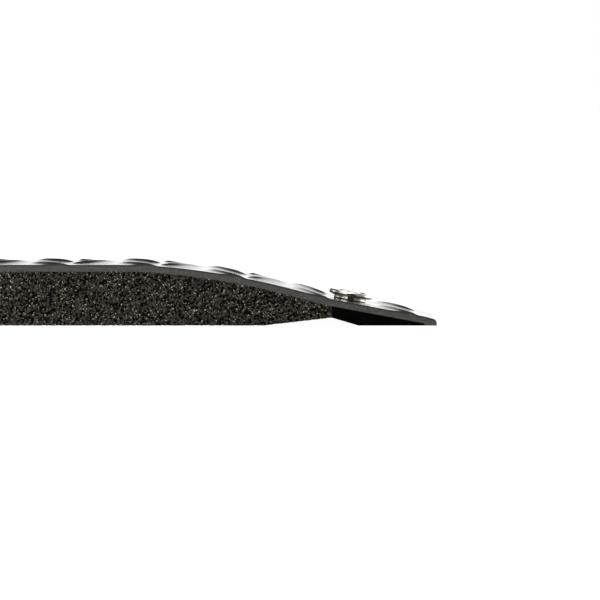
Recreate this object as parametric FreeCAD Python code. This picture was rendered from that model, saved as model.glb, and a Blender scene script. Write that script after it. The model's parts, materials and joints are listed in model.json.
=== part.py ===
import FreeCAD, Part
import math
import os

# Strip of an anti-fatigue floor mat, cut across its bevelled edge, with a grounding press stud.
# Frame: origin at the centre of the underside, +X towards the bevel's tip, +Z up.
# Distances "from the tip" run along the floor, from the tip towards the flat part. Millimetres and degrees.

# Overall
strip_length = 150.0
strip_width = 29.0
sponge_thickness = 12.0
vinyl_thickness = 1.5

# The line where the vinyl meets what is under it: crest, ramp, foot, straight toe
crest_radius = 110.0
crest_turn = 5.74
ramp_slope = 16.3
foot_radius = 41.0
toe_slope = 10.5
toe_spare = 0.55
tip_rounding = 1.0

# Diamond-plate lugs
lug_length = 13.3
lug_width = 6.4
lug_height = 0.62
lug_root = 0.5
lug_pitch = 19.7
lug_row_spacing = lug_pitch / 2
first_lug_from_tip = 9.1
first_row_from_side = 3.2
lug_turn = 45.0

# Press stud
stud_from_tip = 19.4
bead_diameter = 10.0
bead_height = 1.1
bead_rounding = 0.35
neck_diameter = 7.3
neck_height = 0.8
dish_diameter = 7.0
dish_depth = 0.45
head_wall = 0.5
press_foot_diameter = 16.0

# Eyelet that rivets the stud through the vinyl
tube_diameter = 3.4
tube_wall = 0.35
roll_radius = 0.4
eyelet_flange_diameter = 6.4
eyelet_flange_thickness = 0.45
hole_clearance = 0.05
recess_clearance = 0.1

# Sponge end and wedge
wedge_wall = 0.6
sponge_end_height = 1.75
skive_run = 15.1
wedge_foot_run = 5.9
wedge_end_from_tip = 2.7

half_length = strip_length / 2
half_width = strip_width / 2
above_everything = 2 * (sponge_thickness + vinyl_thickness + lug_height)
toe_run = stud_from_tip + neck_diameter / 2 + toe_spare
sponge_end_from_tip = stud_from_tip + eyelet_flange_diameter / 2 + recess_clearance + wedge_wall


def sine(degrees):
    return math.sin(math.radians(degrees))


def cosine(degrees):
    return math.cos(math.radians(degrees))


def solve_ramp_radius():
    """The ramp's radius that brings the line from the sponge's top down to the floor at the tip."""
    toe_rise = toe_run * math.tan(math.radians(toe_slope))
    foot_rise = foot_radius * (cosine(toe_slope) - cosine(ramp_slope))
    crest_rise = crest_radius * (1 - cosine(crest_turn))
    ramp_rise = sponge_thickness - toe_rise - foot_rise - crest_rise
    return ramp_rise / (cosine(crest_turn) - cosine(ramp_slope))


def line_stretches():
    """The line as stretches: start distance, start height, start and end slope, radius (convex < 0)."""
    bends = [(foot_radius, ramp_slope), (-solve_ramp_radius(), crest_turn), (-crest_radius, 0.0)]
    stretches = [(0.0, 0.0, toe_slope, toe_slope, None)]
    distance = toe_run
    height = toe_run * math.tan(math.radians(toe_slope))
    slope = toe_slope
    for radius, end_slope in bends:
        stretches.append((distance, height, slope, end_slope, radius))
        distance += radius * (sine(end_slope) - sine(slope))
        height += radius * (cosine(slope) - cosine(end_slope))
        slope = end_slope
    stretches.append((distance, height, 0.0, 0.0, None))
    return stretches


STRETCHES = line_stretches()


def line_point(distance):
    """Height and slope of the line at a distance from the tip; the toe runs on past the tip."""
    start, height, slope, _, radius = [s for s in STRETCHES if s[0] <= max(distance, 0)][-1]
    step = distance - start
    if radius is None:
        return height + step * math.tan(math.radians(slope)), slope
    here = math.degrees(math.asin(sine(slope) + step / radius))
    return height + radius * (cosine(slope) - cosine(here)), here


def lifted_point(distance, lift):
    """The point at a height of lift, square to the line, above its point at this distance."""
    height, slope = line_point(distance)
    x = half_length - distance + lift * sine(slope)
    return FreeCAD.Vector(x, 0, height + lift * cosine(slope))


def line_edges(lift, first, last):
    """Edges of the line between two distances from the tip, lifted square to itself."""
    ends = [s[0] for s in STRETCHES[1:]] + [strip_length]
    edges = []
    for (start, _, _, _, radius), end in zip(STRETCHES, ends):
        near = max(start, first)
        far = min(end, last)
        if far <= near:
            continue
        if radius is None:
            edges.append(Part.LineSegment(lifted_point(near, lift), lifted_point(far, lift)).toShape())
        else:
            middle = lifted_point((near + far) / 2, lift)
            edges.append(Part.Arc(lifted_point(near, lift), middle, lifted_point(far, lift)).toShape())
    return edges


def profile_solid(edges):
    """A closed profile in the XZ plane, extruded over the strip's width."""
    face = Part.Face(Part.Wire(Part.__sortEdges__(edges)))
    face.translate(FreeCAD.Vector(0, -half_width, 0))
    return face.extrude(FreeCAD.Vector(0, strip_width, 0))


def chain(points):
    """Straight edges from point to point."""
    return [Part.LineSegment(a, b).toShape() for a, b in zip(points, points[1:])]


def surface_placement(distance, lift):
    """Frame on the line: +Z square to it, +X down the slope towards the tip."""
    _, slope = line_point(distance)
    turn = FreeCAD.Rotation(FreeCAD.Vector(0, 1, 0), slope)
    return FreeCAD.Placement(lifted_point(distance, lift), turn)


def make_lug():
    """One lug on the XY plane, along +X: two large balls meet in a low ridge with pointed ends."""
    half_lug = lug_length / 2
    half_lug_width = lug_width / 2
    drop = (half_lug ** 2 - lug_height ** 2) / (2 * lug_height)
    offset = (half_lug ** 2 - half_lug_width ** 2) / lug_width
    ball = math.hypot(offset, lug_height + drop)
    left = Part.makeSphere(ball, FreeCAD.Vector(0, -offset, -drop))
    right = Part.makeSphere(ball, FreeCAD.Vector(0, offset, -drop))
    corner = FreeCAD.Vector(-lug_length, -lug_width, -lug_root)
    block = Part.makeBox(2 * lug_length, 2 * lug_width, lug_root + 2 * lug_height, corner)
    return left.common(right).common(block)


def make_lugs():
    """Staggered rows of lugs that alternate in direction, cut off at the strip's sides; the nose is plain."""
    lug = make_lug()
    lugs = []
    rows = int((strip_width + lug_length) / lug_row_spacing) + 1
    for row in range(rows):
        y = -half_width + first_row_from_side + row * lug_row_spacing
        turn = -lug_turn if row % 2 == 0 else lug_turn
        spin = FreeCAD.Placement(FreeCAD.Vector(0, y, 0), FreeCAD.Rotation(FreeCAD.Vector(0, 0, 1), turn))
        distance = first_lug_from_tip - (row % 2) * lug_pitch / 2
        while distance - lug_length / 2 < strip_length:
            if distance > lug_length / 2:
                piece = lug.copy()
                piece.Placement = surface_placement(distance, vinyl_thickness).multiply(spin)
                lugs.append(piece)
            distance += lug_pitch * cosine(line_point(distance)[1])
    corner = FreeCAD.Vector(-half_length, -half_width, 0)
    strip = Part.makeBox(strip_length, strip_width, above_everything, corner)
    foot = Part.makeCylinder(press_foot_diameter / 2, above_everything)
    foot.Placement = surface_placement(stud_from_tip, vinyl_thickness)
    kept = [piece.common(strip).cut(foot) for piece in lugs]
    return [piece for piece in kept if piece.Solids]


def stud_rod(diameter, low, high):
    """A cylinder on the stud's axis between two heights above the vinyl's underside."""
    rod = Part.makeCylinder(diameter / 2, high - low)
    rod.Placement = surface_placement(stud_from_tip, low)
    return rod


def make_vinyl_top():
    """The skin: it follows the line and ends in a solid nose that stands on the floor past the wedge."""
    tip_top = FreeCAD.Vector(half_length, 0, vinyl_thickness / cosine(toe_slope))
    nose = chain([
        lifted_point(wedge_end_from_tip, 0),
        FreeCAD.Vector(half_length - wedge_end_from_tip, 0, 0),
        FreeCAD.Vector(half_length, 0, 0),
        tip_top,
    ])
    upper = line_edges(vinyl_thickness, 0, strip_length)
    upper[0] = Part.LineSegment(tip_top, lifted_point(toe_run, vinyl_thickness)).toShape()
    left_end = chain([lifted_point(strip_length, 0), lifted_point(strip_length, vinyl_thickness)])
    skin = profile_solid(line_edges(0, wedge_end_from_tip, strip_length) + upper + left_end + nose)
    tip_edge = [e for e in skin.Edges if e.CenterOfMass.sub(tip_top).Length < 1e-3]
    skin = skin.makeFillet(tip_rounding, tip_edge)
    skin = skin.fuse(make_lugs()).removeSplitter()
    hole = stud_rod(tube_diameter + 2 * hole_clearance, -vinyl_thickness, 2 * vinyl_thickness)
    return skin.cut(hole)


def make_sponge_base():
    end_x = half_length - sponge_end_from_tip
    outline = [
        lifted_point(strip_length, 0),
        FreeCAD.Vector(-half_length, 0, 0),
        FreeCAD.Vector(end_x - skive_run, 0, 0),
        FreeCAD.Vector(end_x, 0, sponge_end_height),
        lifted_point(sponge_end_from_tip, 0),
    ]
    return profile_solid(line_edges(0, sponge_end_from_tip, strip_length) + chain(outline))


def make_edge_wedge():
    start_x = half_length - sponge_end_from_tip
    outline = [
        lifted_point(sponge_end_from_tip, 0),
        FreeCAD.Vector(start_x, 0, sponge_end_height),
        FreeCAD.Vector(start_x + wedge_foot_run, 0, 0),
        FreeCAD.Vector(half_length - wedge_end_from_tip, 0, 0),
        lifted_point(wedge_end_from_tip, 0),
    ]
    wedge = profile_solid(line_edges(0, wedge_end_from_tip, sponge_end_from_tip) + chain(outline))
    recess_depth = eyelet_flange_thickness + recess_clearance
    recess_diameter = eyelet_flange_diameter + 2 * recess_clearance
    return wedge.cut(stud_rod(recess_diameter, -recess_depth, vinyl_thickness))


def revolved(edges):
    """A closed half-profile in the XZ plane, revolved about Z and seated on the stud's axis."""
    face = Part.Face(Part.Wire(Part.__sortEdges__(edges)))
    body = face.revolve(FreeCAD.Vector(0, 0, 0), FreeCAD.Vector(0, 0, 1), 360)
    body.Placement = surface_placement(stud_from_tip, vinyl_thickness)
    return body


def make_stud_head():
    """Pressed head: a straight neck, a round-edged bead above it, a dish on top, hollow underneath."""
    top = neck_height + bead_height
    dish_floor = top - dish_depth
    hollow_top = dish_floor - head_wall
    bore_radius = tube_diameter / 2 + hole_clearance
    neck_radius = neck_diameter / 2
    hollow_radius = neck_radius - head_wall
    bead_radius = bead_diameter / 2
    bead_inner = bead_radius - bead_rounding
    corner_inset = bead_rounding * (1 - math.sqrt(0.5))
    corner_radius = bead_radius - corner_inset
    lower_corner = Part.Arc(
        FreeCAD.Vector(bead_inner, 0, neck_height),
        FreeCAD.Vector(corner_radius, 0, neck_height + corner_inset),
        FreeCAD.Vector(bead_radius, 0, neck_height + bead_rounding),
    )
    upper_corner = Part.Arc(
        FreeCAD.Vector(bead_radius, 0, top - bead_rounding),
        FreeCAD.Vector(corner_radius, 0, top - corner_inset),
        FreeCAD.Vector(bead_inner, 0, top),
    )
    band = chain([lower_corner.EndPoint, upper_corner.StartPoint])
    inside = chain([
        upper_corner.EndPoint,
        FreeCAD.Vector(dish_diameter / 2, 0, top),
        FreeCAD.Vector(dish_diameter / 2 - dish_depth, 0, dish_floor),
        FreeCAD.Vector(bore_radius, 0, dish_floor),
        FreeCAD.Vector(bore_radius, 0, hollow_top),
        FreeCAD.Vector(hollow_radius, 0, hollow_top),
        FreeCAD.Vector(hollow_radius, 0, 0),
        FreeCAD.Vector(neck_radius, 0, 0),
        FreeCAD.Vector(neck_radius, 0, neck_height),
        lower_corner.StartPoint,
    ])
    return revolved([lower_corner.toShape(), upper_corner.toShape()] + band + inside)


def make_stud_eyelet():
    """Tubular rivet: flange under the vinyl, tube up through the head, lip rolled over in the dish."""
    seat = neck_height + bead_height - dish_depth
    outer = tube_diameter / 2
    inner = outer - tube_wall
    flange_radius = eyelet_flange_diameter / 2
    flange_top = -vinyl_thickness
    flange_bottom = flange_top - eyelet_flange_thickness
    roll_out = outer + 2 * roll_radius
    roll_top = seat + roll_radius
    lip = chain([
        FreeCAD.Vector(inner, 0, flange_bottom),
        FreeCAD.Vector(flange_radius, 0, flange_bottom),
        FreeCAD.Vector(flange_radius, 0, flange_top),
        FreeCAD.Vector(outer, 0, flange_top),
        FreeCAD.Vector(outer, 0, seat),
        FreeCAD.Vector(roll_out, 0, seat),
    ])
    crown_middle = FreeCAD.Vector((roll_out + inner) / 2, 0, roll_top)
    crown = Part.Arc(FreeCAD.Vector(roll_out, 0, seat), crown_middle, FreeCAD.Vector(inner, 0, seat))
    bore = chain([FreeCAD.Vector(inner, 0, seat), FreeCAD.Vector(inner, 0, flange_bottom)])
    return revolved(lip + [crown.toShape()] + bore)


NODES = {
    "vinyl_top": make_vinyl_top,
    "sponge_base": make_sponge_base,
    "edge_wedge": make_edge_wedge,
    "stud_head": make_stud_head,
    "stud_eyelet": make_stud_eyelet,
}

os.makedirs("parts", exist_ok=True)
for node, make in NODES.items():
    shape = make()
    shape.exportStep("parts/" + node + ".step")
    print(node, "solids", len(shape.Solids), "valid", shape.isValid(), "mm3", round(shape.Volume, 2))
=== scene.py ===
import itertools
import json
import math

import bmesh
import bpy
import numpy as np
from mathutils import Matrix, Vector, noise


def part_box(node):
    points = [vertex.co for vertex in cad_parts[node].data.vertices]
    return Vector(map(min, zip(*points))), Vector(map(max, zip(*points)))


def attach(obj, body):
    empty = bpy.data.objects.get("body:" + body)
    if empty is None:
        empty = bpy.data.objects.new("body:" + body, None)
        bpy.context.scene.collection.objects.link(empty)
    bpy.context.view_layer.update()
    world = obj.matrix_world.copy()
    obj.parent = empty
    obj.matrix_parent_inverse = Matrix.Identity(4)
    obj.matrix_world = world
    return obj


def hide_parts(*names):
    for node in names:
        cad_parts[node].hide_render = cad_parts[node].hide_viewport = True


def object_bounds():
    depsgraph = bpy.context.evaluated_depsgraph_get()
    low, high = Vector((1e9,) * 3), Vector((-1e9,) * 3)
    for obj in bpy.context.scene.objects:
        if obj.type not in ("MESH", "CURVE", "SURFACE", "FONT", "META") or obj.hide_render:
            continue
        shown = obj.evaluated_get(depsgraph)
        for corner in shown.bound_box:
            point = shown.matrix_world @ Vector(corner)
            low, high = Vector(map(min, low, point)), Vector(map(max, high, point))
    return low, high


# Looks of a floor mat strip with a bevelled edge and a grounding stud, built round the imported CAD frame.
# Shape sizes are in millimetres and are scaled by MM when a mesh is made. The floor's size, the softboxes
# and the clip range are in metres. +X runs to the bevel's tip.
# Distances "from the tip" run along the floor, from the tip towards the flat part.

MM = 0.001

# The line where the vinyl meets what is under it: crest, ramp, foot, straight toe
CREST_RADIUS = 110.0
CREST_TURN = math.radians(5.74)
RAMP_SLOPE = math.radians(16.3)
FOOT_RADIUS = 41.0
TOE_RUN = 23.6
TIP_ROUNDING = 1.0

# Diamond-plate lugs
LUG_LENGTH = 13.3
LUG_WIDTH = 7.2
LUG_HEIGHT = 0.64
LUG_PITCH = 19.7
LUG_ROW_SPACING = LUG_PITCH / 2
FIRST_LUG_FROM_TIP = 9.1
FIRST_ROW_FROM_SIDE = 3.2
LUG_TURN = math.radians(45)
LUG_CREST_POWER = 2.8
LUG_TAPER_POWER = 0.8
LUG_FLANK_POWER = 1.7
LUG_RIDGE_SOFT = 0.06
LUG_LEAST_HALF_WIDTH = 0.001
PRESS_FOOT_RADIUS = 8.0
PRESS_FOOT_SOFT = 0.9

# Press stud and its eyelet
VINYL_THICKNESS = 1.5
BEAD_RADIUS = 5.0
BEAD_HEIGHT = 1.1
BEAD_ROUNDING = 0.54
NECK_RADIUS = 3.65
NECK_HEIGHT = 0.8
HEAD_WALL = 0.5
FOOT_FLARE = 0.35
FOLD = 0.12
DISH_RADIUS = 3.5
DISH_DEPTH = 0.45
DISH_RIM_ROUNDING = 0.3
DISH_FLOOR_ROUNDING = 0.25
TUBE_RADIUS = 1.7
TUBE_WALL = 0.35
ROLL_RADIUS = 0.4
EYELET_FLANGE_RADIUS = 3.2
EYELET_FLANGE_THICKNESS = 0.45
EYELET_ROUNDING = 0.12
LIP_STEPS = 16
CLEARANCE = 0.05
RECESS_CLEARANCE = 0.1
LATHE_STEPS = 128
CUTTER_SIDES = 64

# Vinyl mesh: the layers are shares of its thickness, and the two kinds of face are its material numbers
SKIN_COLUMNS = 540
SKIN_ROWS = 112
SKIN_LAYERS = (0.08, 0.17, 0.26, 0.5, 0.75, 1.0)
SKIN_SHARP_ANGLE = math.radians(50)
TIP_STEPS = 7
NOSE_DROOP = 0.25
NOSE_DROOP_RUN = 3.4
TOP_FACE = 0
CUT_FACE = 1

# Sponge and wedge
SKIVE_RUN = 15.1
SPONGE_END_HEIGHT = 1.75
SPONGE_COLUMNS = 640
SPONGE_LAYERS = 60
SPONGE_END_COLUMNS = 120
CELL_SIZE = 0.56
CELL_SMALLEST = 0.35
CELL_LARGEST = 0.65
CELL_DEEPEST = 0.35
GLUED_SHARE = 0.5
FOOT_SHARE = 0.3
WEDGE_FOOT_RUN = 5.9
WEDGE_END_FROM_TIP = 2.7
WEDGE_COLUMNS = 120
WEDGE_LAYERS = 16
WEDGE_SHARP_ANGLE = math.radians(30)
WEDGE_DENT = 0.06
WEDGE_DENT_WAVES_ALONG = 0.9
WEDGE_DENT_WAVES_UP = 2.2

# Numbers that mix a foam cell's place into a repeatable random value
CELL_NUMBER_START = 4096
HASH_AXES = (73856093, 19349663, 83492791)
HASH_CHANNEL = 40503001
HASH_ROUNDS = ((15, 2246822519), (13, 3266489917))
HASH_LAST_SHIFT = 16
LOW_32_BITS = 0xFFFFFFFF

# Floor, with its size in metres, its gap under the object in millimetres, and the strength of its own glow
FLOOR_SIZE = 40
FLOOR_GAP = 0.02
FLOOR_GLOW = 0.96

# World light: strengths, and the places of the band and of each fade, as parts of a unit direction
BACK_BAND = 1.5
FRONT_BAND = 0.01
BAND_TOP = 0.32
BAND_SOFT = 0.06
BAND_LEAN = 0.8
BAND_LEAN_LIMIT = 0.3
SKYLIGHT = 2.2
DIM_SKY = 0.015
SIDE_GLOW = 0.3
BACK_FADE = (-0.35, 0.15)
OVERHEAD_FADE = (0.84, 0.93)
ASIDE_FADE = (0.38, 0.62)

# Softboxes: name, azimuth and elevation in degrees, distance and size in metres, power in watts
SOFTBOXES = (
    ("key", -36, 3, 0.5, (0.4, 0.34), 1.2),
    ("top", -10, 55, 0.7, (0.4, 0.3), 1.1),
    ("rim", -105, 2, 0.4, (0.16, 0.3), 0.5),
)

# Camera: the field is the width seen at the cut face, the elevation is in degrees, the clip range in metres
CAMERA_FROM_TIP = 30.4
CAMERA_AIM_HEIGHT = 5.7
CAMERA_FIELD = 133.3
CAMERA_ELEVATION = 2.8
CAMERA_LENS = 200
CAMERA_SENSOR = 36
CAMERA_CLIP = (0.01, 100)

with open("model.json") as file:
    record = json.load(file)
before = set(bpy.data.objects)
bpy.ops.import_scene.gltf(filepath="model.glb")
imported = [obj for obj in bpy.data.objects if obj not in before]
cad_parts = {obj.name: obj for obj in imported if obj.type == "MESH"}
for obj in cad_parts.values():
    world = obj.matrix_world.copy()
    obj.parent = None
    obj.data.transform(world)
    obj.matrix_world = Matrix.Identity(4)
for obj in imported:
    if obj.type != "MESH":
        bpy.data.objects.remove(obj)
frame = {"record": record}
cad_low, cad_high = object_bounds()

HALF_LENGTH = cad_high.x / MM
HALF_WIDTH = cad_high.y / MM
SPONGE_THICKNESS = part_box("sponge_base")[1].z / MM
SPONGE_END_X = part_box("sponge_base")[1].x / MM
STUD_MOUNT = next(m for m in frame["record"]["mounts"] if m["name"] == "ground_stud")
STUD_AXIS = Vector(STUD_MOUNT["axis"]).normalized()
TOE_SLOPE = math.atan2(STUD_AXIS.x, STUD_AXIS.z)
STUD_SEAT = Vector(STUD_MOUNT["pos_m"]) / MM - STUD_AXIS * (NECK_HEIGHT + BEAD_HEIGHT / 2)
STUD_FROM_TIP = HALF_LENGTH - (STUD_SEAT - STUD_AXIS * VINYL_THICKNESS).x


def ease(value, low, high):
    """Smooth step from 0 at low to 1 at high."""
    t = np.clip((value - low) / (high - low), 0, 1)
    return t * t * (3 - 2 * t)


# ---------------------------------------------------------------- the line under the vinyl


def solve_ramp_radius():
    """The ramp's radius that brings the line from the sponge's top down to the floor at the tip."""
    toe_rise = TOE_RUN * math.tan(TOE_SLOPE)
    foot_rise = FOOT_RADIUS * (math.cos(TOE_SLOPE) - math.cos(RAMP_SLOPE))
    crest_rise = CREST_RADIUS * (1 - math.cos(CREST_TURN))
    ramp_rise = SPONGE_THICKNESS - toe_rise - foot_rise - crest_rise
    return ramp_rise / (math.cos(CREST_TURN) - math.cos(RAMP_SLOPE))


def line_stretches():
    """The line as stretches: start distance, start height, start slope, radius (convex < 0)."""
    bends = [(FOOT_RADIUS, RAMP_SLOPE), (-solve_ramp_radius(), CREST_TURN), (-CREST_RADIUS, 0.0)]
    stretches = [(0.0, 0.0, TOE_SLOPE, None)]
    distance = TOE_RUN
    height = TOE_RUN * math.tan(TOE_SLOPE)
    slope = TOE_SLOPE
    for radius, end_slope in bends:
        stretches.append((distance, height, slope, radius))
        distance += radius * (math.sin(end_slope) - math.sin(slope))
        height += radius * (math.cos(slope) - math.cos(end_slope))
        slope = end_slope
    stretches.append((distance, height, 0.0, None))
    return stretches


STRETCHES = line_stretches()


def line_at(distance):
    """Heights and slopes of the line at distances from the tip."""
    distance = np.atleast_1d(np.asarray(distance, float))
    height = np.zeros_like(distance)
    slope = np.zeros_like(distance)
    for start, start_height, start_slope, radius in STRETCHES:
        here = distance >= start if start > 0 else np.ones_like(distance, bool)
        step = distance[here] - start
        if radius is None:
            slope[here] = start_slope
            height[here] = start_height + step * math.tan(start_slope)
        else:
            turned = np.arcsin(np.clip(math.sin(start_slope) + step / radius, -1, 1))
            slope[here] = turned
            height[here] = start_height + radius * (math.cos(start_slope) - np.cos(turned))
    return height, slope


def lifted(distance, lift):
    """X and Z of points lifted square to the line."""
    height, slope = line_at(distance)
    return HALF_LENGTH - distance + lift * np.sin(slope), height + lift * np.cos(slope)


# ---------------------------------------------------------------- meshes


class Shell:
    """Collects points, faces and each face's material number for one closed mesh."""

    def __init__(self):
        self.points = []
        self.faces = []
        self.kinds = []
        self.total = 0

    def add_points(self, x, y, z):
        """Adds points given as arrays of one shape, and returns their numbers in that shape."""
        x, y, z = np.broadcast_arrays(x, y, z)
        self.points.append(np.stack([x.ravel(), y.ravel(), z.ravel()], axis=1))
        numbers = np.arange(self.total, self.total + x.size).reshape(x.shape)
        self.total += x.size
        return numbers

    def add_face(self, corners, kind=0):
        """Adds a face; repeated corners are dropped, and a face with fewer than three is left out."""
        corners = list(dict.fromkeys(int(c) for c in corners))
        if len(corners) > 2:
            self.faces.append(corners)
            self.kinds.append(kind)

    def add_grid(self, numbers, kind=0):
        """Adds quads over a table of point numbers."""
        corners = [numbers[:-1, :-1], numbers[1:, :-1], numbers[1:, 1:], numbers[:-1, 1:]]
        for quad in np.stack([c.ravel() for c in corners], axis=1).tolist():
            self.add_face(quad, kind)

    def all_points(self):
        """All points so far, as one table of X, Y and Z."""
        return np.vstack(self.points)

    def build(self, name, points=None):
        """The mesh object, in metres, with all faces turned outwards."""
        points = self.all_points() if points is None else points
        mesh = bpy.data.meshes.new(name)
        mesh.from_pydata((points * MM).tolist(), [], self.faces)
        mesh.polygons.foreach_set("material_index", self.kinds)
        mesh.polygons.foreach_set("use_smooth", [True] * len(self.faces))
        shape = bmesh.new()
        shape.from_mesh(mesh)
        bmesh.ops.recalc_face_normals(shape, faces=shape.faces)
        shape.to_mesh(mesh)
        shape.free()
        obj = bpy.data.objects.new(name, mesh)
        bpy.context.scene.collection.objects.link(obj)
        return obj


def set_attribute(obj, name, values):
    """One number for each vertex, for the material to read."""
    attribute = obj.data.attributes.new(name, "FLOAT", "POINT")
    attribute.data.foreach_set("value", np.asarray(values, np.float32))


def cut(obj, cutter):
    """Takes the cutter's volume out of the object, and removes the cutter."""
    modifier = obj.modifiers.new("cut", "BOOLEAN")
    modifier.object = cutter
    modifier.operation = "DIFFERENCE"
    modifier.solver = "EXACT"
    graph = bpy.context.evaluated_depsgraph_get()
    whole = obj.evaluated_get(graph)
    result = bpy.data.meshes.new_from_object(whole, preserve_all_data_layers=True, depsgraph=graph)
    obj.modifiers.clear()
    obj.data = result
    bpy.data.objects.remove(cutter)


# ---------------------------------------------------------------- turned pieces on the stud's axis


def arc(centre_r, centre_z, radius, start, end, steps=8):
    """Outline points of an arc, from one angle to another, in degrees."""
    angles = [math.radians(start + (end - start) * i / steps) for i in range(steps + 1)]
    return [(centre_r + radius * math.cos(a), centre_z + radius * math.sin(a)) for a in angles]


def lathe(name, outline):
    """A closed outline of (radius, height) points, turned round the stud's axis and seated on the vinyl."""
    radius, height = np.array(outline).T
    angles = np.linspace(0, 2 * math.pi, LATHE_STEPS, endpoint=False)[:, None]
    local = np.stack(np.broadcast_arrays(radius * np.cos(angles), radius * np.sin(angles), height), axis=2)
    turn = np.array(Vector((0, 0, 1)).rotation_difference(STUD_AXIS).to_matrix())
    placed = local @ turn.T + np.array(STUD_SEAT)
    shell = Shell()
    numbers = shell.add_points(placed[..., 0], placed[..., 1], placed[..., 2])
    numbers = np.vstack([numbers, numbers[:1]])
    shell.add_grid(np.hstack([numbers, numbers[:, :1]]))
    return shell.build(name)


def make_rod(radius, low, high):
    """A plain cylinder on the stud's axis, used only as a cutter."""
    bpy.ops.mesh.primitive_cylinder_add(vertices=CUTTER_SIDES, radius=radius * MM, depth=(high - low) * MM)
    rod = bpy.context.object
    turn = Vector((0, 0, 1)).rotation_difference(STUD_AXIS).to_matrix().to_4x4()
    rod.matrix_world = Matrix.Translation((STUD_SEAT + STUD_AXIS * (low + high) / 2) * MM) @ turn
    bpy.context.view_layer.update()
    return rod


def make_press_stud():
    """Pressed head: flared foot, straight neck, round-edged bead, dished top, hollow underneath."""
    top = NECK_HEIGHT + BEAD_HEIGHT
    dish_floor = top - DISH_DEPTH
    hollow_top = dish_floor - HEAD_WALL
    bore = TUBE_RADIUS + CLEARANCE
    hollow = NECK_RADIUS - HEAD_WALL
    inner = BEAD_RADIUS - BEAD_ROUNDING
    outline = [(hollow, 0.0), (NECK_RADIUS + FOOT_FLARE, 0.0)]
    outline += arc(NECK_RADIUS + FOOT_FLARE, FOOT_FLARE, FOOT_FLARE, 270, 180)
    outline += arc(NECK_RADIUS + FOLD, NECK_HEIGHT - FOLD, FOLD, 180, 90, steps=5)
    outline += arc(inner, NECK_HEIGHT + BEAD_ROUNDING, BEAD_ROUNDING, -90, 0)
    outline += arc(inner, top - BEAD_ROUNDING, BEAD_ROUNDING, 0, 90)
    rim = DISH_RIM_ROUNDING
    foot = DISH_FLOOR_ROUNDING
    outline += arc(DISH_RADIUS + rim, top - rim, rim, 90, 135, steps=4)
    outline += arc(DISH_RADIUS - DISH_DEPTH, dish_floor + foot, foot, -45, -90, steps=4)
    outline += [(bore, dish_floor), (bore, hollow_top), (hollow, hollow_top)]
    return lathe("press_stud", outline)


def make_stud_rivet():
    """Tubular rivet: flange under the vinyl, tube up through the head, lip rolled over in the dish."""
    seat = NECK_HEIGHT + BEAD_HEIGHT - DISH_DEPTH
    bore = TUBE_RADIUS - TUBE_WALL
    flange_low = -VINYL_THICKNESS - EYELET_FLANGE_THICKNESS
    soft = EYELET_ROUNDING
    outline = [(bore + soft, flange_low)]
    outline += arc(EYELET_FLANGE_RADIUS - soft, flange_low + soft, soft, -90, 0, steps=4)
    outline += arc(EYELET_FLANGE_RADIUS - soft, -VINYL_THICKNESS - soft, soft, 0, 90, steps=4)
    outline += [(TUBE_RADIUS, -VINYL_THICKNESS), (TUBE_RADIUS, seat)]
    lip_half = (TUBE_RADIUS + 2 * ROLL_RADIUS - bore) / 2
    for turned in np.linspace(0, math.pi, LIP_STEPS + 1):
        outline.append((bore + lip_half * (1 + math.cos(turned)), seat + ROLL_RADIUS * math.sin(turned)))
    outline += [(bore, flange_low + soft)]
    return lathe("stud_rivet", outline)


# ---------------------------------------------------------------- vinyl


def one_lug(down, sideways, turn):
    """Height of one lug at offsets down the slope and sideways: pointed ends, and flanks that ease out."""
    along = np.abs(down * math.cos(turn) + sideways * math.sin(turn)) / (LUG_LENGTH / 2)
    across = sideways * math.cos(turn) - down * math.sin(turn)
    half = LUG_WIDTH / 2 * np.clip(1 - along**2, 0, 1) ** LUG_TAPER_POWER
    half = np.maximum(half, LUG_LEAST_HALF_WIDTH)
    share = np.sqrt((across / half) ** 2 + LUG_RIDGE_SOFT**2) - LUG_RIDGE_SOFT
    crest = np.clip(1 - along**LUG_CREST_POWER, 0, 1)
    return LUG_HEIGHT * crest * np.clip(1 - share, 0, 1) ** LUG_FLANK_POWER


def lug_height_at(distance, y):
    """Height of the lugs over the vinyl at points on its surface."""
    height = np.zeros_like(distance)
    rows = int((2 * HALF_WIDTH + LUG_LENGTH) / LUG_ROW_SPACING) + 1
    for row in range(rows):
        row_y = -HALF_WIDTH + FIRST_ROW_FROM_SIDE + row * LUG_ROW_SPACING
        turn = -LUG_TURN if row % 2 == 0 else LUG_TURN
        centre = FIRST_LUG_FROM_TIP - (row % 2) * LUG_PITCH / 2
        while centre - LUG_LENGTH / 2 < 2 * HALF_LENGTH:
            slope = line_at(centre)[1][0]
            if centre > LUG_LENGTH / 2:
                down = (centre - distance) / math.cos(slope)
                height = np.maximum(height, one_lug(down, y - row_y, turn))
            centre += LUG_PITCH * math.cos(slope)
    return height


def flattening(distance, y):
    """0 under the press tool's foot round the stud, 1 elsewhere."""
    off_axis = np.hypot((distance - STUD_FROM_TIP) / math.cos(TOE_SLOPE), y)
    return ease(off_axis, PRESS_FOOT_RADIUS - PRESS_FOOT_SOFT, PRESS_FOOT_RADIUS)


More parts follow.
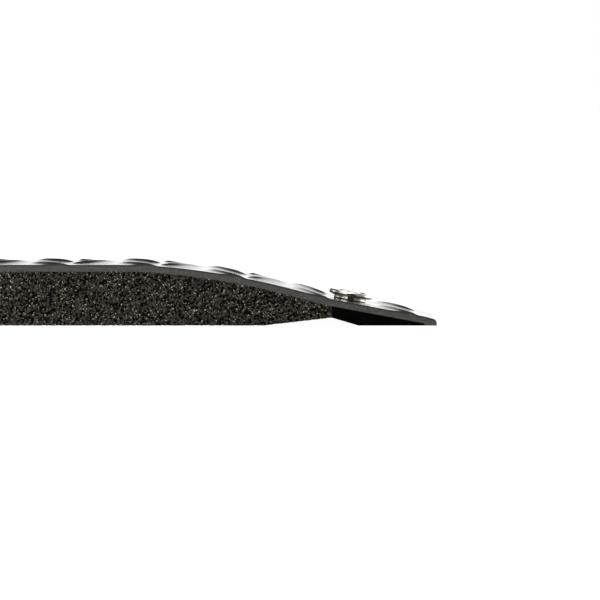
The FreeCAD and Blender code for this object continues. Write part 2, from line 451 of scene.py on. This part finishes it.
def upper_outline():
    """The skin's upper outline without lugs, from the flat end over the rounded tip to the floor.

    Gives distances from the tip, X, Z and slopes. Round the tip the distance stays the same.
    """
    corner = VINYL_THICKNESS * math.sin(TOE_SLOPE)
    inset = TIP_ROUNDING / math.tan((math.pi / 2 + TOE_SLOPE) / 2) * math.cos(TOE_SLOPE)
    distance = np.linspace(2 * HALF_LENGTH, corner + inset, SKIN_COLUMNS)
    x, z = lifted(distance, VINYL_THICKNESS)
    slope = line_at(distance)[1]
    centre_x = x[-1] - TIP_ROUNDING * math.sin(TOE_SLOPE)
    centre_z = z[-1] - TIP_ROUNDING * math.cos(TOE_SLOPE)
    turned = np.linspace(TOE_SLOPE, math.pi / 2, TIP_STEPS + 1)[1:]
    face_z = centre_z * (1 - np.array(SKIN_LAYERS))
    x = np.concatenate([x, centre_x + TIP_ROUNDING * np.sin(turned), np.full(len(face_z), HALF_LENGTH)])
    z = np.concatenate([z, centre_z + TIP_ROUNDING * np.cos(turned), face_z])
    slope = np.concatenate([slope, turned, np.full(len(face_z), math.pi / 2)])
    distance = np.concatenate([distance, np.full(len(turned) + len(face_z), distance[-1])])
    droop = np.clip(1 - (HALF_LENGTH - x) / NOSE_DROOP_RUN, 0, 1) ** 2 * NOSE_DROOP
    return distance, x, z * (1 - droop / VINYL_THICKNESS), slope


def under_outline(upper_x):
    """X and Z of the skin's underside below upper points: it steps down to the floor past the wedge's end."""
    x, z = lifted(HALF_LENGTH - upper_x, 0)
    nose = int(np.argmax(x > HALF_LENGTH - WEDGE_END_FROM_TIP))
    x[nose - 1:nose + 1] = HALF_LENGTH - WEDGE_END_FROM_TIP
    z[nose - 1] = line_at(WEDGE_END_FROM_TIP)[0][0]
    z[nose:] = 0
    return x, z


def make_vinyl_skin():
    """The embossed skin: a fine upper surface, cut sides in strips, and a plain underside with a solid nose.

    Its attributes are the lug height in millimetres, and the depth under the surface as a share of the whole.
    """
    distance, x, z, slope = upper_outline()
    last = len(distance) - 1
    tip = last - len(SKIN_LAYERS)
    y = np.linspace(-HALF_WIDTH, HALF_WIDTH, SKIN_ROWS + 1)
    grid_distance, grid_y = np.meshgrid(distance, y, indexing="ij")
    lug = lug_height_at(grid_distance, grid_y) * flattening(grid_distance, grid_y)
    top_x = x[:, None] + lug * np.sin(slope)[:, None]
    top_z = z[:, None] + lug * np.cos(slope)[:, None]
    shell = Shell()
    top = shell.add_points(top_x, grid_y, top_z)
    shell.add_grid(top, TOP_FACE)
    depths = [np.zeros(top.size)]
    low_x, low_z = under_outline(x[:tip])
    share = np.array(SKIN_LAYERS)[None, :]
    sides = []
    for side in (0, SKIN_ROWS):
        side_x = top_x[:tip, side, None] * (1 - share) + low_x[:, None] * share
        side_z = top_z[:tip, side, None] * (1 - share) + low_z[:, None] * share
        table = np.hstack([top[:tip, side, None], shell.add_points(side_x, y[side], side_z)])
        table = np.vstack([table, top[tip:, side]])
        shell.add_grid(table, CUT_FACE)
        sides.append(table)
        depths.append(np.broadcast_to(share, side_x.shape).ravel())
    near, far = sides
    for i in range(tip - 1):
        shell.add_face([near[i, -1], near[i + 1, -1], far[i + 1, -1], far[i, -1]], CUT_FACE)
    shell.add_face([near[tip - 1, -1], far[tip - 1, -1]] + top[last, ::-1].tolist(), CUT_FACE)
    shell.add_face(top[0].tolist() + far[0, 1:].tolist() + near[0, :0:-1].tolist(), CUT_FACE)
    skin = shell.build("vinyl_skin")
    set_attribute(skin, "lug", np.concatenate([lug.ravel()] + [np.zeros(len(d)) for d in depths[1:]]))
    set_attribute(skin, "depth", np.concatenate(depths))
    skin.data.set_sharp_from_angle(angle=SKIN_SHARP_ANGLE)
    cut(skin, make_rod(TUBE_RADIUS + CLEARANCE, -2 * VINYL_THICKNESS, VINYL_THICKNESS))
    return skin


# ---------------------------------------------------------------- sponge


def scatter(cell, channel):
    """Repeatable numbers from 0 to 1 for whole-number cells."""
    mixed = np.bitwise_xor.reduce(cell * HASH_AXES, axis=1) ^ (channel + 1) * HASH_CHANNEL
    for shift, factor in HASH_ROUNDS:
        mixed = mixed & LOW_32_BITS
        mixed = (mixed ^ mixed >> shift) * factor
    mixed = mixed & LOW_32_BITS
    return (mixed ^ mixed >> HASH_LAST_SHIFT) / 2**32


def cell_depth(points, inward):
    """How far the foam's cut-open round cells go below points on its surface."""
    home = np.floor(points / CELL_SIZE).astype(np.int64)
    depth = np.zeros(len(points))
    for step in itertools.product((-1, 0, 1), repeat=3):
        cell = home + step
        number = cell + CELL_NUMBER_START
        jitter = np.stack([scatter(number, channel) for channel in range(3)], axis=1)
        reach = (cell + jitter) * CELL_SIZE - points
        radius = CELL_SIZE * (CELL_SMALLEST + (CELL_LARGEST - CELL_SMALLEST) * scatter(number, 3))
        along = (reach * inward).sum(axis=1)
        chord = np.sqrt(np.maximum(radius**2 - ((reach**2).sum(axis=1) - along**2), 0))
        open_cell = (chord > 0) & (along < chord)
        depth = np.maximum(depth, np.where(open_cell, along + chord, 0))
    return np.minimum(depth, CELL_DEEPEST)


def make_sponge_core():
    """The foam block: fine pitted cut faces at the sides and the flat end, plain strips elsewhere.

    Its attribute is the depth of the pit at each point, as a share of the deepest.
    """
    x = np.linspace(-HALF_LENGTH, SPONGE_END_X, SPONGE_COLUMNS + 1)
    upper = line_at(HALF_LENGTH - x)[0]
    lower = np.maximum(0, (x - SPONGE_END_X + SKIVE_RUN) / SKIVE_RUN) * SPONGE_END_HEIGHT
    share = np.linspace(0, 1, SPONGE_LAYERS + 1)[None, :]
    z = lower[:, None] * (1 - share) + upper[:, None] * share
    shell = Shell()
    near = shell.add_points(x[:, None], -HALF_WIDTH, z)
    far = shell.add_points(x[:, None], HALF_WIDTH, z)
    end_y = np.linspace(-HALF_WIDTH, HALF_WIDTH, SPONGE_END_COLUMNS + 1)[1:-1]
    inner = shell.add_points(-HALF_LENGTH, end_y[:, None], z[:1])
    end = np.vstack([near[:1], inner, far[:1]])
    for table in (near, far, end):
        shell.add_grid(table)
    for layer in (0, -1):
        for i in range(1, SPONGE_COLUMNS):
            shell.add_face([near[i, layer], near[i + 1, layer], far[i + 1, layer], far[i, layer]])
        shell.add_face([near[1, layer]] + end[:, layer].tolist() + [far[1, layer]])
    for k in range(SPONGE_LAYERS):
        shell.add_face([near[-1, k], near[-1, k + 1], far[-1, k + 1], far[-1, k]])
    points = shell.all_points()
    inward = np.zeros_like(points)
    inward[near, 1] += 1
    inward[far, 1] -= 1
    inward[end, 0] += 1
    inward[near[:, 0], 2] += 1
    inward[far[:, 0], 2] += 1
    inward /= np.linalg.norm(inward, axis=1)[:, None]
    depth = cell_depth(points, inward)
    glued = np.concatenate([near[:, -1], far[:, -1], end[:, -1], near[-1], far[-1]])
    depth[glued] *= GLUED_SHARE
    depth[np.concatenate([near[:, 0], far[:, 0], end[:, 0]])] *= FOOT_SHARE
    points += inward * depth[:, None]
    sponge = shell.build("sponge_core", points)
    set_attribute(sponge, "pit", depth / CELL_DEEPEST)
    return sponge


# ---------------------------------------------------------------- wedge


def dent_at(x, y, z):
    """How far the wedge's uneven cut face lies behind the plane of the cut at one point."""
    return WEDGE_DENT * abs(noise.noise(Vector((x * WEDGE_DENT_WAVES_ALONG, y, z * WEDGE_DENT_WAVES_UP))))


def make_wedge_filler():
    """The solid filler under the bevel, with slightly uneven cut faces and a recess for the rivet."""
    x = np.linspace(SPONGE_END_X, HALF_LENGTH - WEDGE_END_FROM_TIP, WEDGE_COLUMNS + 1)
    upper = line_at(HALF_LENGTH - x)[0]
    lower = np.maximum(0, 1 - (x - SPONGE_END_X) / WEDGE_FOOT_RUN) * SPONGE_END_HEIGHT
    share = np.linspace(0, 1, WEDGE_LAYERS + 1)[None, :]
    z = lower[:, None] * (1 - share) + upper[:, None] * share
    shell = Shell()
    sides = []
    for y, inward in ((-HALF_WIDTH, 1), (HALF_WIDTH, -1)):
        dent = np.vectorize(dent_at)(x[:, None], y, z)
        sides.append(shell.add_points(x[:, None], y + inward * dent, z))
    near, far = sides
    shell.add_grid(near)
    shell.add_grid(far)
    for layer in (0, -1):
        for i in range(WEDGE_COLUMNS):
            shell.add_face([near[i, layer], near[i + 1, layer], far[i + 1, layer], far[i, layer]])
    for i in (0, -1):
        for k in range(WEDGE_LAYERS):
            shell.add_face([near[i, k], near[i, k + 1], far[i, k + 1], far[i, k]])
    wedge = shell.build("wedge_filler")
    wedge.data.set_sharp_from_angle(angle=WEDGE_SHARP_ANGLE)
    recess = EYELET_FLANGE_THICKNESS + RECESS_CLEARANCE
    cut(wedge, make_rod(EYELET_FLANGE_RADIUS + RECESS_CLEARANCE, -VINYL_THICKNESS - recess, VINYL_THICKNESS))
    return wedge


# ---------------------------------------------------------------- materials


class Nodes:
    """Short calls for the nodes of one material or world."""

    def __init__(self, tree):
        self.tree = tree
        self.tree.nodes.clear()

    def add(self, kind, inputs=None, **settings):
        """A node with its settings; each input is another node's output to link, or a value to set."""
        made = self.tree.nodes.new(kind)
        for name, value in settings.items():
            setattr(made, name, value)
        for name, value in (inputs or {}).items():
            if isinstance(value, bpy.types.NodeSocket):
                self.tree.links.new(value, made.inputs[name])
            else:
                made.inputs[name].default_value = value
        return made

    def place(self, scale):
        """Object coordinates in millimetres, divided by a grain size along each axis."""
        source = self.add("ShaderNodeTexCoord").outputs["Object"]
        factors = [1 / (MM * size) for size in scale]
        return self.add("ShaderNodeMapping", {"Vector": source, "Scale": factors}).outputs["Vector"]

    def noise(self, scale, detail=3.0, roughness=0.55):
        """Soft noise around 0.5, with the grain size in millimetres along each axis."""
        inputs = {"Vector": self.place(scale), "Scale": 1.0, "Detail": detail, "Roughness": roughness}
        return self.add("ShaderNodeTexNoise", inputs).outputs["Fac"]

    def cells(self, scale):
        """Round cells, as smoothed distances to their centres, with the cell size in millimetres."""
        inputs = {"Vector": self.place(scale), "Scale": 1.0}
        return self.add("ShaderNodeTexVoronoi", inputs, feature="SMOOTH_F1").outputs["Distance"]

    def attribute(self, name):
        """The mesh's own number at each point, from set_attribute."""
        return self.add("ShaderNodeAttribute", attribute_name=name).outputs["Fac"]

    def math(self, operation, a, b=0.0):
        return self.add("ShaderNodeMath", {0: a, 1: b}, operation=operation).outputs[0]

    def range(self, value, low, high, start, end, kind="LINEAR"):
        """Maps low..high to start..end, and holds the ends beyond them."""
        inputs = {"Value": value, "From Min": low, "From Max": high, "To Min": start, "To Max": end}
        return self.add("ShaderNodeMapRange", inputs, interpolation_type=kind).outputs["Result"]

    def blend(self, factor, a, b):
        """A colour from a, at factor 0, to b, at factor 1. A colour mix takes them at inputs 6 and 7."""
        made = self.add("ShaderNodeMix", {"Factor": factor}, data_type="RGBA")
        for socket, value in ((made.inputs[6], a), (made.inputs[7], b)):
            if isinstance(value, bpy.types.NodeSocket):
                self.tree.links.new(value, socket)
            else:
                socket.default_value = (*value, 1)
        return made.outputs[2]

    def bump(self, height, micrometres, base=None):
        """A normal from a height of 0 to 1 that stands for so many micrometres, over a base normal."""
        inputs = {"Height": height, "Strength": 1.0, "Distance": micrometres * 1e-6}
        if base is not None:
            inputs["Normal"] = base
        return self.add("ShaderNodeBump", inputs).outputs["Normal"]

    def surface(self, **inputs):
        """The shader and the output, with socket names given in lower case with underscores."""
        named = {}
        for name, value in inputs.items():
            named[name.replace("_", " ").title().replace("Ior", "IOR")] = value
        shader = self.add("ShaderNodeBsdfPrincipled", named).outputs["BSDF"]
        self.add("ShaderNodeOutputMaterial", {"Surface": shader})


def new_material(name):
    """A new material, and the short calls for its nodes."""
    material = bpy.data.materials.new(name)
    material.use_nodes = True
    return material, Nodes(material.node_tree)


def vinyl_top_material():
    """Glossy moulded vinyl: faint pebbling, uneven gloss, lug crests rubbed a little lighter and duller."""
    material, nodes = new_material("vinyl_gloss")
    cloudy = nodes.noise((9, 9, 9), 4.0)
    fine = nodes.noise((0.5, 0.5, 0.5), 2.0)
    crests = nodes.range(nodes.attribute("lug"), 0.45, 0.7, 0, 1)
    worn = nodes.math("MULTIPLY", crests, nodes.range(fine, 0.35, 0.65, 0.2, 1))
    dark = (0.026, 0.026, 0.025)
    pale = (0.038, 0.037, 0.035)
    rubbed = (0.06, 0.058, 0.054)
    colour = nodes.blend(worn, nodes.blend(cloudy, dark, pale), rubbed)
    gloss = nodes.math("ADD", nodes.range(cloudy, 0.3, 0.7, 0.13, 0.2), nodes.math("MULTIPLY", worn, 0.12))
    pebbles = nodes.bump(nodes.cells((0.55, 0.55, 0.55)), 2.5)
    normal = nodes.bump(nodes.noise((3.5, 3.5, 3.5), 2.0), 8, pebbles)
    nodes.surface(base_color=colour, roughness=gloss, normal=normal)
    return material


def vinyl_cut_material():
    """Knife-cut vinyl: matte grey with drawn-out marks, pale grains, stains and a darker band along its top
    edge.
    """
    material, nodes = new_material("vinyl_cut")
    marks = nodes.noise((3.0, 0.8, 0.35), 4.0, 0.65)
    grain = nodes.noise((0.6, 0.6, 0.6), 3.0)
    stain = nodes.noise((1.5, 1.5, 1.0), 2.0)
    dark = (0.076, 0.076, 0.067)
    pale = (0.138, 0.136, 0.121)
    pale_grain = (0.205, 0.2, 0.178)
    stained = (0.115, 0.098, 0.093)
    dark_top_band = (0.045, 0.045, 0.04)
    colour = nodes.blend(nodes.range(marks, 0.35, 0.65, 0, 1), dark, pale)
    colour = nodes.blend(nodes.range(grain, 0.45, 0.65, 0, 0.5), colour, pale_grain)
    colour = nodes.blend(nodes.range(stain, 0.45, 0.65, 0, 0.5), colour, stained)
    # The cut face is coloured darker in a thin band along its top edge.
    near_top = nodes.range(nodes.attribute("depth"), 0.17, 0.28, 1, 0, "SMOOTHSTEP")
    colour = nodes.blend(near_top, colour, dark_top_band)
    normal = nodes.bump(marks, 25, nodes.bump(grain, 10))
    nodes.surface(base_color=colour, roughness=nodes.range(grain, 0.3, 0.7, 0.5, 0.68), normal=normal)
    return material


def sponge_material():
    """Cut PVC foam: lighter walls, painted shade that deepens into the cells, and painted glints on small
    specks.
    """
    material, nodes = new_material("sponge_foam")
    pit = nodes.attribute("pit")
    fine = nodes.noise((0.28, 0.28, 0.28), 2.0, 0.6)
    broad = nodes.noise((4, 4, 4), 2.0)
    dark_wall = (0.0036, 0.0031, 0.0018)
    pale_wall = (0.16, 0.142, 0.098)
    painted_pit_shade = (0.0012, 0.001, 0.0006)
    painted_glint = (0.9, 0.88, 0.8)
    dusky = (0.009, 0.008, 0.005)
    wall = nodes.blend(nodes.range(fine, 0.4, 0.65, 0, 1), dark_wall, pale_wall)
    # Painted shade: each cell gets darker with its depth, standing in for the shade inside it.
    colour = nodes.blend(nodes.range(pit, 0.05, 0.6, 0, 1), wall, painted_pit_shade)
    # Painted glints: small near-white specks stand in for highlights on the foam's cell walls.
    glint_spots = nodes.range(nodes.noise((0.32, 0.32, 0.32), 0.0), 0.72, 0.77, 0, 1)
    colour = nodes.blend(glint_spots, colour, painted_glint)
    colour = nodes.blend(nodes.range(broad, 0.35, 0.65, 0, 0.2), colour, dusky)
    nodes.surface(
        base_color=colour,
        roughness=nodes.range(fine, 0.3, 0.7, 0.8, 0.6),
        specular_ior_level=0.12,
        normal=nodes.bump(fine, 60),
    )
    return material


def wedge_material():
    """Dense black rubber with a faint grain."""
    material, nodes = new_material("wedge_rubber")
    grain = nodes.noise((0.35, 0.35, 0.35), 4.0)
    broad = nodes.noise((3, 3, 3), 2.0)
    black = (0.0007, 0.0006, 0.0006)
    brownish = (0.0035, 0.0028, 0.0023)
    nodes.surface(
        base_color=nodes.blend(nodes.range(broad, 0.35, 0.7, 0, 1), black, brownish),
        roughness=nodes.range(grain, 0.3, 0.7, 0.62, 0.8),
        specular_ior_level=0.04,
        normal=nodes.bump(grain, 30),
    )
    return material


def nickel_material():
    """Bright nickel plate with faint level turning marks and a little tarnish."""
    material, nodes = new_material("nickel_plate")
    tarnish = nodes.noise((1.6, 1.6, 1.6), 4.0, 0.6)
    marks = nodes.noise((2.5, 2.5, 0.08), 3.0)
    clean = (0.8, 0.77, 0.7)
    tarnished = (0.6, 0.54, 0.44)
    colour = nodes.blend(nodes.range(tarnish, 0.4, 0.75, 0, 1), clean, tarnished)
    gloss = nodes.range(tarnish, 0.3, 0.7, 0.08, 0.16)
    nodes.surface(base_color=colour, metallic=1.0, roughness=gloss, normal=nodes.bump(marks, 1.5))
    return material


# ---------------------------------------------------------------- stage, light and camera


def make_floor():
    """A wide floor just under the object, which glows so that it looks nearly white, and isn't reflected."""
    bpy.ops.mesh.primitive_plane_add(size=FLOOR_SIZE, location=(0, 0, cad_low.z - FLOOR_GAP * MM))
    floor = bpy.context.object
    floor.name = "floor"
    material, nodes = new_material("floor_paint")
    dark = (0.24, 0.24, 0.24)
    pale = (0.26, 0.26, 0.26)
    nodes.surface(
        base_color=nodes.blend(nodes.noise((60, 60, 60), 2.0), dark, pale),
        roughness=1.0,
        specular_ior_level=0.0,
        emission_color=(1, 1, 1, 1),
        emission_strength=FLOOR_GLOW,
    )
    floor.data.materials.append(material)
    floor.visible_glossy = False
    floor.visible_diffuse = False


def make_world():
    """White backdrop low on the far side, dark in front, soft light from the sides and overhead.

    The camera sees plain white instead. The backdrop's upper edge leans: it is higher on the right.
    """
    world = bpy.data.worlds.new("studio")
    bpy.context.scene.world = world
    world.use_nodes = True
    nodes = Nodes(world.node_tree)
    direction = nodes.add("ShaderNodeTexCoord").outputs["Generated"]
    parts = nodes.add("ShaderNodeSeparateXYZ", {"Vector": direction}).outputs
    most = BAND_LEAN * BAND_LEAN_LIMIT
    lean = nodes.range(parts["X"], -BAND_LEAN_LIMIT, BAND_LEAN_LIMIT, most, -most)
    height = nodes.math("ADD", parts["Z"], lean)
    low = nodes.range(height, BAND_TOP - BAND_SOFT, BAND_TOP + BAND_SOFT, 1, 0, "SMOOTHSTEP")
    behind = nodes.range(parts["Y"], *BACK_FADE, FRONT_BAND, BACK_BAND, "SMOOTHSTEP")
    overhead = nodes.range(parts["Z"], *OVERHEAD_FADE, 0, SKYLIGHT, "SMOOTHSTEP")
    aside = nodes.range(nodes.math("ABSOLUTE", parts["X"]), *ASIDE_FADE, DIM_SKY, SIDE_GLOW, "SMOOTHSTEP")
    light = nodes.math("ADD", nodes.math("MULTIPLY", low, behind), nodes.math("ADD", overhead, aside))
    seen = nodes.add("ShaderNodeLightPath").outputs["Is Camera Ray"]
    strength = nodes.add("ShaderNodeMix", {"Factor": seen, 2: light, 3: 1.0}, data_type="FLOAT").outputs[0]
    background = nodes.add("ShaderNodeBackground", {"Color": (1, 1, 1, 1), "Strength": strength})
    nodes.add("ShaderNodeOutputWorld", {"Surface": background.outputs["Background"]})


def add_softbox(name, azimuth, elevation, distance, size, power):
    """An area light aimed at the object; azimuth 0 is the camera's side and positive is to the right."""
    centre = (cad_low + cad_high) / 2
    turn = math.radians(azimuth)
    tilt = math.radians(elevation)
    away = Vector((math.sin(turn) * math.cos(tilt), -math.cos(turn) * math.cos(tilt), math.sin(tilt)))
    light = bpy.data.lights.new(name, "AREA")
    light.shape = "RECTANGLE"
    light.size, light.size_y = size
    light.energy = power
    lamp = bpy.data.objects.new(name, light)
    lamp.location = centre + away * distance
    lamp.visible_camera = False
    lamp.rotation_euler = away.to_track_quat("Z", "Y").to_euler()
    bpy.context.scene.collection.objects.link(lamp)


def make_camera():
    """A long lens just above the floor, square to the cut face, with the tip and its stud in the frame."""
    target = Vector((HALF_LENGTH - CAMERA_FROM_TIP, -HALF_WIDTH, CAMERA_AIM_HEIGHT)) * MM
    elevation = math.radians(CAMERA_ELEVATION)
    back = Vector((0, -math.cos(elevation), math.sin(elevation)))
    data = bpy.data.cameras.new("camera")
    data.lens = CAMERA_LENS
    data.sensor_width = CAMERA_SENSOR
    data.clip_start, data.clip_end = CAMERA_CLIP
    camera = bpy.data.objects.new("camera", data)
    camera.location = target + back * (CAMERA_FIELD * MM * data.lens / data.sensor_width)
    camera.rotation_euler = back.to_track_quat("Z", "Y").to_euler()
    bpy.context.scene.collection.objects.link(camera)
    bpy.context.scene.camera = camera


def dress(obj, node, slot, *materials):
    """Gives a piece its materials, and lets it stand for its CAD node."""
    for material in materials:
        obj.data.materials.append(material)
    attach(obj, "root")
    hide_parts(node)


dress(make_vinyl_skin(), "vinyl_top", "vinyl", vinyl_top_material(), vinyl_cut_material())
sponge = make_sponge_core()
dress(sponge, "sponge_base", "sponge", sponge_material())
dress(make_wedge_filler(), "edge_wedge", "wedge", wedge_material())
nickel = nickel_material()
dress(make_press_stud(), "stud_head", "nickel", nickel)
dress(make_stud_rivet(), "stud_eyelet", "nickel", nickel)
make_floor()
make_world()
for softbox in SOFTBOXES:
    add_softbox(*softbox)
make_camera()
bpy.context.scene.view_settings.view_transform = "Standard"
